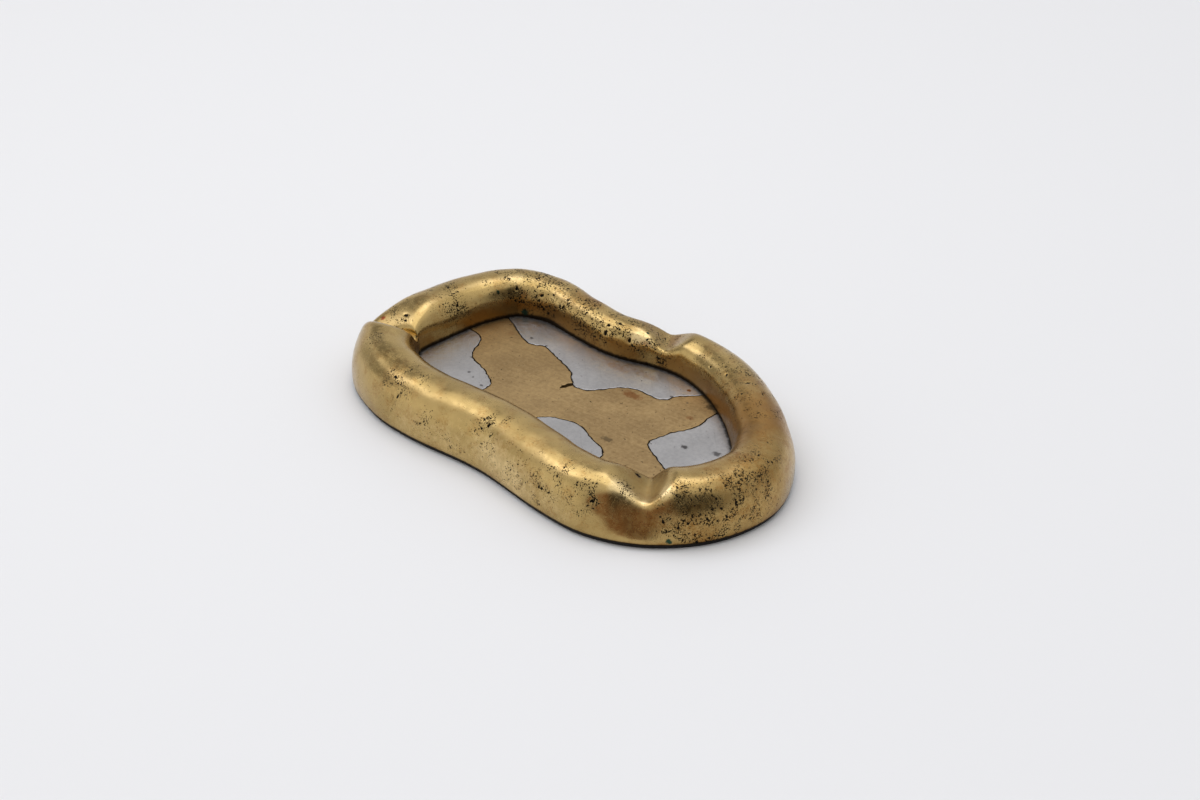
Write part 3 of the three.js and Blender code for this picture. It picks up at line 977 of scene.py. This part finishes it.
@dataclass
class RimCasting:
    """The rolled rim, with hand-finished unevenness and casting pits.

    The limits of heights are in millimetres above the table, on the inner and the outer wall. The lists
    give the dug flaws, the tarnished areas, two of which are painted reflection, the painted highlights
    and reflections, and the areas that are scuffed dull, soiled and pitted.
    """

    node: str = "rim_casting"
    levels: int = 2
    crease_degrees: float = 50.0
    crease_margin: float = 0.1
    smooth_degrees: float = 40.0
    lip_margin: float = 0.02
    spine_half: float = 45.0
    facing: Limits = (-0.1, 0.4)
    lump_size: float = 15.0
    lump_height: float = 0.7
    inner_dome: Limits = (8.1, 13.0)
    outer_dome: Limits = (1.6, 6.0)
    hollow_depth: float = 0.4
    full_hollows: Limits = (9.5, 12.0)
    low_hollows: float = 0.5
    search_reach: float = 1.3
    least_level: float = 0.02
    # Brown band low on the inner wall: partly tarnish, partly painted shade and painted reflection of the
    # brass floor.
    inner_tarnish_and_shade: Limits = (21.0, 12.0)
    # Darker towards the foot of the outer wall: painted shade.
    outer_foot_shade: Limits = (5.0, 1.6)
    outer_foot_shade_share: float = 0.5
    # Dark bands at the foot of both walls: painted shade where the rim meets the floor and the felt.
    inner_corner: Limits = (11.0, 8.1)
    outer_corner: Limits = (3.5, 2.2)
    flaws: tuple[Flaw, ...] = (
        Flaw((39.0, -66.0, 14.0), 1.3, 1.1),
        Flaw((43.7, -66.0, 13.2), 1.0, 0.8, 40.0),
        Flaw((33.8, -66.2, 10.0), 1.0, 0.8, 110.0),
        Flaw((64.5, -61.5, 18.0), 1.8, 0.9, 35.0),
        Flaw((-0.5, -57.5, 22.5), 2.2, 0.9, 60.0),
        Flaw((-4.3, -56.3, 23.5), 1.2, 0.8, 30.0),
        Flaw((-14.5, -63.5, 9.5), 1.3, 0.9, 20.0),
        Flaw((-51.0, -64.0, 18.0), 1.4, 0.9, 80.0),
        Flaw((-35.5, -65.5, 11.5), 1.5, 0.9, 140.0),
        Flaw((67.5, -36.5, 19.5), 2.2, 0.8, 75.0),
        Flaw((104.0, -35.0, 6.0), 1.5, 1.0, 60.0),
        Flaw((110.9, -15.0, 9.8), 1.4, 0.9, 100.0),
        Flaw((104.5, 5.5, 23.0), 1.2, 0.8, 45.0),
        Flaw((59.5, 41.5, 25.0), 1.6, 1.0, 30.0),
        Flaw((46.5, 42.0, 23.5), 1.3, 0.8, 150.0),
        Flaw((35.5, 44.5, 21.5), 1.3, 0.8, 20.0),
        Flaw((5.0, 43.5, 13.0), 1.7, 0.9, 10.0),
        Flaw((-9.5, 40.5, 18.0), 1.8, 1.0, 100.0),
        Flaw((-21.5, 38.0, 18.0), 1.9, 1.0, 70.0),
        Flaw((-23.0, 40.0, 21.0), 1.4, 0.9, 30.0),
        Flaw((-50.5, 39.0, 19.0), 1.6, 0.9, 110.0),
        Flaw((-64.0, 38.5, 20.0), 1.5, 0.9, 40.0),
        Flaw((-75.5, 33.5, 21.0), 1.4, 0.9, 80.0),
        Flaw((-84.5, 4.5, 21.0), 1.5, 0.9, 60.0),
        Flaw((-94.5, -18.5, 21.5), 1.7, 1.0, 20.0),
    )
    # Tarnished areas, two of them painted reflection as marked; those below 0 thin the brown band low on the
    # walls.
    tarnished_and_shaded: tuple[Cluster, ...] = (
        Cluster((98.0, -5.0, 18.0), 34.0, 0.56),
        Cluster((60.0, 40.0, 20.0), 22.0, 0.42),
        # Painted reflection: reddish brown on the wall under the front rest.
        Cluster((84.0, -52.0, 13.0), 9.0, 0.5),
        Cluster((80.0, 28.0, 25.0), 15.0, 0.75),
        Cluster((4.0, 54.0, 22.0), 8.0, 0.7),
        # Painted reflection of the brass floor, high on the right inner wall.
        Cluster((76.0, 14.0, 20.0), 11.0, 0.6),
        Cluster((101.0, -38.0, 8.0), 13.0, 0.3),
        Cluster((22.0, -61.0, 21.0), 22.0, 0.22),
        Cluster((-40.0, -63.0, 17.0), 16.0, 0.25),
        Cluster((-61.0, -60.0, 22.0), 11.0, 0.35),
        Cluster((-12.0, 56.0, 22.0), 9.0, 0.6),
        Cluster((-45.0, 54.0, 22.0), 14.0, 0.4),
        Cluster((-40.0, 46.0, 23.0), 8.0, 0.35),
        Cluster((0.0, 42.3, 13.0), 8.0, -0.7),
        Cluster((-24.0, 36.2, 13.0), 7.0, -0.35),
        Cluster((-83.0, -5.0, 15.5), 13.0, -0.6),
    )
    # Painted highlights on crests, lips and tops, then painted reflection of the table low on the front wall.
    painted_highlight: tuple[Cluster, ...] = (
        Cluster((70.0, -52.3, 23.6), 4.5, 0.7),
        Cluster((75.0, -50.6, 21.2), 4.0, 0.65),
        Cluster((81.5, -49.0, 18.6), 3.5, 0.5),
        Cluster((87.5, -41.5, 24.0), 4.5, 0.65),
        Cluster((-7.0, 42.6, 20.6), 5.5, 0.57),
        Cluster((-2.0, 43.4, 18.6), 3.5, 0.6),
        Cluster((-55.0, 41.0, 22.0), 8.0, 0.3),
        Cluster((-79.0, 36.0, 25.0), 7.0, 0.38),
        Cluster((-84.0, -47.0, 25.0), 9.0, 0.28),
        # Painted reflection of the bright table, low on the front wall.
        Cluster((-45.0, -67.0, 8.0), 14.0, 0.3),
        Cluster((-20.0, -65.0, 8.0), 14.0, 0.3),
        Cluster((4.0, -62.0, 13.0), 11.0, 0.4),
        Cluster((22.0, -64.0, 8.0), 14.0, 0.5),
        Cluster((50.0, -67.0, 8.0), 14.0, 0.3),
    )
    scuffed: tuple[Cluster, ...] = (
        Cluster((73.0, -40.0, 19.0), 7.0, 1.0),
        Cluster((80.0, -39.0, 21.0), 6.0, 1.0),
        Cluster((-30.0, -58.0, 22.0), 20.0, 0.45),
        Cluster((16.0, -57.0, 23.0), 20.0, 0.8),
    )
    soiled: tuple[Cluster, ...] = (
        Cluster((-57.0, 37.0, 10.5), 9.0, 0.4),
        Cluster((84.0, 15.0, 25.0), 9.0, 0.33),
    )
    least_pitting: float = 0.2
    pitted: tuple[Cluster, ...] = (
        Cluster((-98.0, -19.0, 21.0), 7.0, 0.9),
        Cluster((-85.0, 5.0, 21.0), 8.0, 0.7),
        Cluster((-95.0, 5.0, 25.0), 10.0, 0.4),
        Cluster((-82.0, 29.0, 25.0), 9.0, 0.5),
        Cluster((-75.0, 38.0, 24.0), 8.0, 0.7),
        Cluster((-64.0, 40.0, 22.0), 11.0, 0.9),
        Cluster((-46.0, 40.0, 21.0), 11.0, 0.8),
        Cluster((-30.0, 40.0, 21.0), 11.0, 0.9),
        Cluster((-21.0, 42.0, 22.0), 7.5, 1.0),
        Cluster((-8.0, 42.0, 20.0), 6.0, 0.5),
        Cluster((2.0, 43.0, 16.0), 6.0, 0.6),
        Cluster((-11.0, 38.9, 14.0), 8.0, 0.35),
        Cluster((4.0, 42.8, 11.5), 7.0, 0.3),
        Cluster((-26.0, 46.0, 23.0), 10.0, 0.5),
        Cluster((36.0, 49.0, 24.0), 12.0, 0.5),
        Cluster((55.0, 42.0, 25.0), 10.0, 0.6),
        Cluster((76.0, 32.0, 25.0), 13.0, 0.45),
        Cluster((101.0, 5.0, 25.0), 10.0, 0.5),
        Cluster((105.0, -13.0, 23.0), 10.0, 0.6),
        Cluster((97.0, -38.0, 21.0), 10.0, 0.8),
        Cluster((106.0, -29.0, 14.0), 11.0, 0.95),
        Cluster((109.0, -12.0, 16.0), 11.0, 0.7),
        Cluster((102.0, -37.0, 8.0), 10.0, 0.85),
        Cluster((95.0, -45.0, 13.0), 9.0, 0.75),
        Cluster((-84.0, -46.0, 25.5), 7.0, 0.6),
        Cluster((-57.0, -62.0, 20.0), 8.0, 0.65),
        Cluster((-50.0, -55.0, 25.0), 8.0, 0.85),
        Cluster((-35.0, -65.0, 12.0), 7.0, 0.5),
        Cluster((-15.0, -63.0, 9.0), 7.0, 0.5),
        Cluster((0.0, -57.0, 23.0), 9.0, 0.6),
        Cluster((10.0, -61.0, 17.0), 16.0, 0.1),
        Cluster((22.0, -64.0, 10.0), 13.0, 0.26),
        Cluster((38.0, -66.0, 13.0), 10.0, 0.45),
        Cluster((50.0, -62.0, 22.0), 11.0, 0.4),
        Cluster((63.0, -62.0, 18.0), 7.0, 0.7),
        Cluster((73.0, -50.0, 22.0), 5.0, 0.8),
        Cluster((0.0, 62.0, 12.0), 20.0, 0.5),
        Cluster((-80.0, 52.0, 12.0), 18.0, 0.5),
        Cluster((-109.0, 8.0, 12.0), 16.0, 0.4),
        Cluster((78.0, 50.0, 10.0), 16.0, 0.4),
    )
    lip: np.ndarray = field(init=False)

    def build(self, effects: Effects) -> bpy.types.Object:
        """Models and dresses the rim.

        Args:
            effects: The shared effects.

        Returns:
            The finished piece.
        """
        rim = self.rounded()
        self.roughen(rim)
        self.dig_hollows(rim)
        smooth_by_angle(rim, self.smooth_degrees)
        self.mark(rim)
        dress(rim, CastBrass().build(effects), "cast_brass", self.node)
        return rim

    def rounded(self) -> bpy.types.Object:
        """Makes the CAD rim a smooth surface with crisp corners at its foot, and notes where its lip is.

        Returns:
            The smooth rim.
        """
        rim = copy_of_node(self.node, "rim")
        edit_all(rim)
        bpy.ops.mesh.tris_convert_to_quads(face_threshold=math.pi, shape_threshold=math.pi)
        bpy.ops.mesh.select_mode(type="EDGE")
        bpy.ops.mesh.select_all(action="DESELECT")
        bpy.ops.mesh.edges_select_sharp(sharpness=math.radians(self.crease_degrees))
        stop_editing()
        sharp = np.empty(len(rim.data.edges), dtype=bool)
        rim.data.edges.foreach_get("select", sharp)
        low = vertex_places(rim)[:, 2] < (FLOOR_TOP + self.crease_margin) * MM
        select_edges(rim, sharp & low[edge_ends(rim)].all(axis=1))
        bpy.ops.transform.edge_crease(value=1.0)
        stop_editing()
        apply_modifier(rim, "SUBSURF", levels=self.levels, render_levels=self.levels)
        places = vertex_places(rim)
        self.lip = places[np.abs(places[:, 2] - FLOOR_TOP * MM) < self.lip_margin * MM]
        return rim

    def inner_share(self, rim: bpy.types.Object) -> np.ndarray:
        """How far each vertex faces the tray's middle.

        Args:
            rim: The rim.

        Returns:
            One share for each vertex, from 0 to 1.
        """
        places, normals = vertex_places(rim), vertex_normals(rim)
        middle = np.clip(places[:, 0], -self.spine_half * MM, self.spine_half * MM)
        inwards = np.stack([middle - places[:, 0], -places[:, 1]], axis=1)
        inwards /= np.linalg.norm(inwards, axis=1)[:, None]
        return smooth_step(self.facing, (inwards * normals[:, :2]).sum(axis=1))

    def by_wall(self, rim: bpy.types.Object, inner_limits: Limits, outer_limits: Limits,
                outer_share: float = 1.0) -> np.ndarray:
        """A soft step of the height, with limits of its own on the inner and the outer wall.

        Args:
            rim: The rim.
            inner_limits: The heights where the step starts and ends on the inner wall.
            outer_limits: The same heights on the outer wall.
            outer_share: How much of the step the outer wall gets.

        Returns:
            One share for each vertex, from 0 to 1.
        """
        height, inner = vertex_places(rim)[:, 2] / MM, self.inner_share(rim)
        on_inner = inner * smooth_step(inner_limits, height)
        return on_inner + (1.0 - inner) * outer_share * smooth_step(outer_limits, height)

    def roughen(self, rim: bpy.types.Object) -> None:
        """Makes the dome slightly uneven, and leaves its foot where it is.

        Args:
            rim: The rim to change.
        """
        set_weights(rim, "dome", self.by_wall(rim, self.inner_dome, self.outer_dome))
        apply_modifier(rim, "DISPLACE", texture=clouds("hand finishing", self.lump_size, layers=1),
                       texture_coords="LOCAL", strength=self.lump_height * MM, mid_level=0.5,
                       vertex_group="dome")

    def dig_hollows(self, rim: bpy.types.Object) -> None:
        """Digs the flaws into the surface.

        Args:
            rim: The rim to change.
        """
        places, normals = vertex_places(rim), vertex_normals(rim)
        tree = tree_of(places)
        depth = np.zeros(len(places))
        for flaw in self.flaws:
            self.dig(depth, tree, normals, flaw)
        full = smooth_step(self.full_hollows, places[:, 2] / MM)
        depth *= full * (1.0 - self.low_hollows) + self.low_hollows
        set_weights(rim, "hollows", depth)
        set_attribute(rim, "hollow", depth)
        apply_modifier(rim, "DISPLACE", strength=-self.hollow_depth * MM, mid_level=0.0,
                       vertex_group="hollows")

    def dig(self, depth: np.ndarray, tree: KDTree, normals: np.ndarray, flaw: Flaw) -> None:
        """Adds one oval hollow to the depths.

        Args:
            depth: The depth share of each vertex, changed in place.
            tree: The vertices by place.
            normals: All vertex normals.
            flaw: The hollow to add.
        """
        centre, nearest, _ = tree.find(metres(flaw.place))
        normal = Vector(normals[nearest])
        level = Vector((-normal.y, normal.x, 0.0))
        if level.length <= self.least_level:
            level = normal.orthogonal()
        level.normalize()
        turn = math.radians(flaw.turn)
        along = level * math.cos(turn) + normal.cross(level) * math.sin(turn)
        across = normal.cross(along)
        for place, index, _ in tree.find_range(centre, flaw.half_length * self.search_reach * MM):
            away = (place - centre) / MM
            share = (away.dot(along) / flaw.half_length) ** 2 + (away.dot(across) / flaw.half_width) ** 2
            depth[index] = max(depth[index], 1.0 - min(share, 1.0))

    def mark(self, rim: bpy.types.Object) -> None:
        """Stores how pitted, tarnished, scuffed and dirty each place is, and where painted highlights and
        painted shade go.

        Args:
            rim: The rim to mark.
        """
        places = vertex_places(rim)
        # Brown band low on the walls: partly tarnish, partly painted shade and reflection.
        low = self.by_wall(rim, self.inner_tarnish_and_shade, self.outer_foot_shade, self.outer_foot_shade_share)
        # Dark bands at the foot of the walls: painted shade.
        corners = self.by_wall(rim, self.inner_corner, self.outer_corner)
        marks = {
            "pitting": self.least_pitting + gathered(places, self.pitted),
            "tarnish_and_shade": low + gathered(places, self.tarnished_and_shaded),
            "painted_highlight": gathered(places, self.painted_highlight),
            "scuffing": gathered(places, self.scuffed),
            "soil_and_shade": corners + gathered(places, self.soiled),
        }
        for name, amount in marks.items():
            set_attribute(rim, name, np.minimum(amount, 1.0))


@dataclass
class PiecedFloor:
    """The flush floor pieces: a brass web and four aluminium inlays."""

    pieces: dict[str, FloorMetal] = field(default_factory=lambda: {
        "floor_web_brass": FloorMetal.BRASS,
        "floor_inlay_left": FloorMetal.ALUMINIUM,
        "floor_inlay_back": FloorMetal.ALUMINIUM,
        "floor_inlay_front": FloorMetal.ALUMINIUM,
        "floor_inlay_right": FloorMetal.ALUMINIUM,
    })
    edge_round: float = 0.12
    edge_segments: int = 2
    smooth_degrees: float = 35.0
    least_level: float = 0.99
    grid: float = 1.2
    wander_size: float = 2.4
    wander_reach: float = 1.5
    wander_from_rim: Limits = (3.2, 5.0)
    dirt_and_shade_reach: float = 1.4
    seam_margin: float = 0.45
    seam_reach: float = 0.15
    seam_dirt: float = 0.55

    def build(self, effects: Effects, lip: np.ndarray) -> list[bpy.types.Object]:
        """Models and dresses every floor piece.

        Args:
            effects: The shared effects.
            lip: Places along the rim's lip, in metres, where painted shade and some dirt gather.

        Returns:
            The finished pieces.
        """
        materials = {metal: finish.build(effects) for metal, finish in FLOOR_FINISHES.items()}
        by_lip = tree_of(lip)
        made = []
        for node, metal in self.pieces.items():
            piece = self.flat_piece(node, by_lip)
            dress(piece, materials[metal], metal.value, node)
            made.append(piece)
        return made

    def flat_piece(self, node: str, by_lip: KDTree) -> bpy.types.Object:
        """One floor piece with eased upper edges, painted shade with some dirt along the rim, and dark seams.

        Args:
            node: The CAD node.
            by_lip: A search tree over places along the rim's lip.

        Returns:
            The piece without a material.
        """
        piece = copy_of_node(node, node.replace("floor_", ""))
        merge_flat_faces(piece)
        at_top = vertex_places(piece)[:, 2] > (FLOOR_TOP - SAME_LEVEL) * MM
        round_edges(piece, at_top[edge_ends(piece)].all(axis=1), self.edge_round, self.edge_segments)
        self.frame_top(piece)
        self.cut_grid(piece)
        from_rim = np.array([by_lip.find(place)[2] for place in vertex_places(piece)]) / MM
        self.wander(piece, smooth_step(self.wander_from_rim, from_rim))
        smooth_by_angle(piece, self.smooth_degrees)
        from_seam = away_from_lines(vertex_places(piece)[:, :2], self.outline(piece)) / MM
        # Painted shade, with some dirt, on the floor next to the rim's lip.
        by_rim = np.exp(-from_rim / self.dirt_and_shade_reach)
        by_seam = self.seam_dirt * np.exp(-(from_seam / self.seam_reach) ** 2)
        set_attribute(piece, "soil_and_shade", np.maximum(by_rim, by_seam))
        return piece

    def frame_top(self, piece: bpy.types.Object) -> None:
        """Sets a narrow margin inside the top face, for the dirt along its seams.

        Args:
            piece: The piece to change.
        """
        work_on(piece)
        bpy.context.tool_settings.mesh_select_mode = (False, False, True)
        for face in piece.data.polygons:
            face.select = face.normal.z > self.least_level
        bpy.ops.object.mode_set(mode="EDIT")
        bpy.ops.mesh.inset(thickness=self.seam_margin * MM)
        stop_editing()

    def cut_grid(self, piece: bpy.types.Object) -> None:
        """Cuts a piece along a grid, so that its seams can wander and marks can vary over it.

        Args:
            piece: The piece to change.
        """
        spacing = self.grid * MM
        places = vertex_places(piece)
        work_on(piece)
        bpy.ops.object.mode_set(mode="EDIT")
        for axis in (0, 1):
            low, high = places[:, axis].min(), places[:, axis].max()
            normal = tuple(1.0 if axis == other else 0.0 for other in range(3))
            for step in range(math.ceil(low / spacing), math.ceil(high / spacing)):
                bpy.ops.mesh.select_all(action="SELECT")
                centre = tuple(value * step * spacing for value in normal)
                bpy.ops.mesh.bisect(plane_co=centre, plane_no=normal)
        stop_editing()

    def wander(self, piece: bpy.types.Object, share: np.ndarray) -> None:
        """Lets the seams wander as a hand saw does, the same way in every piece.

        Args:
            piece: The piece to change.
            share: How far each vertex may wander, from 0 to 1.
        """
        set_weights(piece, "sawn", share)
        for direction, basis in (("X", "BLENDER_ORIGINAL"), ("Y", "IMPROVED_PERLIN")):
            apply_modifier(piece, "DISPLACE", texture=clouds("saw", self.wander_size, layers=1, basis=basis),
                           texture_coords="LOCAL", direction=direction, mid_level=0.5,
                           strength=self.wander_reach * MM, vertex_group="sawn")

    def outline(self, piece: bpy.types.Object) -> np.ndarray:
        """The lines round a piece's side, just below its eased edge.

        Args:
            piece: The piece to read.

        Returns:
            The start and the end of each line in plan, in metres.
        """
        places, ends = vertex_places(piece), edge_ends(piece)
        side = np.abs(places[:, 2] - (FLOOR_TOP - self.edge_round) * MM) < SAME_LEVEL * MM
        return places[ends[side[ends].all(axis=1)]][:, :, :2]


@dataclass
class BackingPlate:
    """The hidden plate under the floor pieces, which keeps its CAD shape."""

    node: str = "backing_plate"

    def build(self, effects: Effects) -> bpy.types.Object:
        """Dresses the CAD node in raw sheet brass.

        Args:
            effects: The shared effects.

        Returns:
            The CAD node's object.
        """
        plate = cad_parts[self.node]
        plate.data.materials.clear()
        plate.data.materials.append(SHEET_BRASS.build(effects))
        log.info("%s: CAD shape kept", plate.name)
        return plate


@dataclass
class BaseFelt:
    """The felt that the tray stands on, glued under its whole base.

    The flat length, width and area are those of the sheet before it is glued on.
    """

    node: str = "base_felt"
    flat_length: float = 221.2
    flat_width: float = 131.2
    flat_area: float = 24170.0
    edge_round: float = 0.25
    edge_segments: int = 3
    smooth_degrees: float = 50.0
    fuzz: float = 0.12
    fuzz_size: float = 1.2
    fuzz_layers: int = 2

    def build(self, effects: Effects) -> bpy.types.Object:
        """Args:
            effects: The shared effects.

        Returns:
            The finished piece.
        """
        felt = copy_of_node(self.node, "felt")
        merge_flat_faces(felt)
        starts, ends = vertex_places(felt)[:, 2][edge_ends(felt).T]
        round_edges(felt, np.abs(starts - ends) < SAME_LEVEL * MM, self.edge_round, self.edge_segments)
        fibres = clouds("felt fibres", self.fuzz_size, self.fuzz_layers)
        apply_modifier(felt, "DISPLACE", texture=fibres, texture_coords="LOCAL", strength=self.fuzz * MM,
                       mid_level=1.0)
        smooth_by_angle(felt, self.smooth_degrees)
        dress(felt, Felt().build(effects), "felt", self.node)
        return felt


# Studio


@dataclass(frozen=True)
class TentPatch:
    """A part of the white tent that differs: which way it lies, its colour, and the cosines of its reach."""

    way: Place
    colour: Colour
    edge: float
    core: float


@dataclass
class Studio:
    """The pale table, the soft light and the camera."""

    camera_place: Place = (646.62, -664.64, 611.36)
    camera_target: Place = (-4.37, 15.4, 0.0)
    camera_nearest: float = 10.0
    lens: float = 75.0
    sensor_width: float = 36.0
    softbox_place: Place = (-280.0, -20.0, 1060.0)
    softbox_side: float = 1100.0
    softbox_watts: float = 3.3
    table_side: float = 12000.0
    table_drop: float = 0.05
    table_colour: Colour = (0.815, 0.815, 0.815, 1.0)
    table_roughness: float = 0.6
    table_shine: float = 0.2
    tent_low: Colour = (0.62, 0.62, 0.63, 1.0)
    tent_high: Colour = (1.05, 1.05, 1.05, 1.0)
    tent_rise: Limits = (0.35, 0.95)
    patches: tuple[TentPatch, ...] = (
        TentPatch((-0.6, -0.8, 0.07), (1.08, 1.08, 1.08, 1.0), 0.8, 0.95),
        TentPatch((-0.86, -0.36, 0.36), (0.4, 0.4, 0.4, 1.0), 0.945, 0.985),
        TentPatch((-0.93, 0.3, 0.15), (0.82, 0.82, 0.82, 1.0), 0.92, 0.98),
        TentPatch((-0.66, 0.7, 0.3), (0.75, 0.75, 0.75, 1.0), 0.945, 0.985),
        TentPatch((-0.74, 0.33, 0.59), (0.31, 0.305, 0.3, 1.0), 0.945, 0.99),
        TentPatch((-0.66, -0.26, 0.71), (2.1, 2.15, 2.5, 1.0), 0.963, 0.992),
        TentPatch((-0.28, 0.36, 0.89), (1.8, 1.85, 2.15, 1.0), 0.955, 0.99),
        TentPatch((0.49, -0.85, 0.2), (0.3, 0.165, 0.1, 1.0), 0.84, 0.95),
        TentPatch((0.8, -0.46, 0.38), (0.07, 0.066, 0.062, 1.0), 0.77, 0.92),
    )

    def build(self) -> None:
        """Sets up the whole studio."""
        bpy.context.scene.view_settings.view_transform = "Standard"
        self.add_table()
        self.add_softbox()
        self.light_room()
        self.add_camera()

    def add_table(self) -> None:
        """Adds the plain pale table under everything."""
        bpy.ops.object.select_all(action="DESELECT")
        place = (0.0, 0.0, -self.table_drop * MM)
        bpy.ops.mesh.primitive_plane_add(size=self.table_side * MM, location=place)
        table = bpy.context.active_object
        table.name = "table"
        table.data.materials.append(MaterialSheet("pale table").shade({
            "Base Color": self.table_colour,
            "Roughness": self.table_roughness,
            "Specular IOR Level": self.table_shine,
        }))

    def add_softbox(self) -> None:
        """Adds the large soft lamp above the tray's left."""
        place = metres(self.softbox_place)
        bpy.ops.object.light_add(type="AREA", location=place)
        lamp = bpy.context.active_object
        lamp.name = "softbox"
        lamp.rotation_mode = "QUATERNION"
        lamp.rotation_quaternion = (-place).to_track_quat("-Z", "Y")
        lamp.data.shape = "SQUARE"
        lamp.data.size = self.softbox_side * MM
        lamp.data.energy = self.softbox_watts

    def light_room(self) -> None:
        """Lights the room as a white tent that is brighter overhead, with patches that differ."""
        world = bpy.data.worlds.new("white tent")
        bpy.context.scene.world = world
        world.use_nodes = True
        sheet = NodeSheet(world.node_tree)
        way = sheet.add("ShaderNodeTexCoord").outputs["Generated"]
        height = sheet.add("ShaderNodeSeparateXYZ", {0: way}).outputs["Z"]
        colour = sheet.mix(sheet.ramp(height, *self.tent_rise), self.tent_low, self.tent_high)
        for patch in self.patches:
            facing = sheet.vector_math("DOT_PRODUCT", way, Vector(patch.way).normalized())
            share = sheet.ramp(facing.outputs["Value"], patch.edge, patch.core)
            colour = sheet.mix(share, colour, patch.colour)
        background = sheet.tree.nodes["Background"]
        sheet.feed(background.inputs["Color"], colour)
        sheet.feed(background.inputs["Strength"], 1.0)

    def add_camera(self) -> None:
        """Adds the camera at the photograph's place."""
        place, target = metres(self.camera_place), metres(self.camera_target)
        bpy.ops.object.camera_add(location=place)
        camera = bpy.context.active_object
        camera.rotation_mode = "QUATERNION"
        camera.rotation_quaternion = (target - place).to_track_quat("-Z", "Y")
        camera.data.lens = self.lens
        camera.data.sensor_width = self.sensor_width
        camera.data.clip_start = self.camera_nearest * MM
        bpy.context.scene.camera = camera


def main() -> None:
    """Builds the studio and every piece."""
    logging.basicConfig(level=logging.INFO, format="%(name)s %(message)s")
    Studio().build()
    effects = Effects()
    rim = RimCasting()
    pieces = [rim.build(effects)]
    pieces += PiecedFloor().build(effects, rim.lip)
    pieces.append(BackingPlate().build(effects))
    pieces.append(BaseFelt().build(effects))
    log.info("%d pieces", len(pieces))


if __name__ == "__main__":
    main()
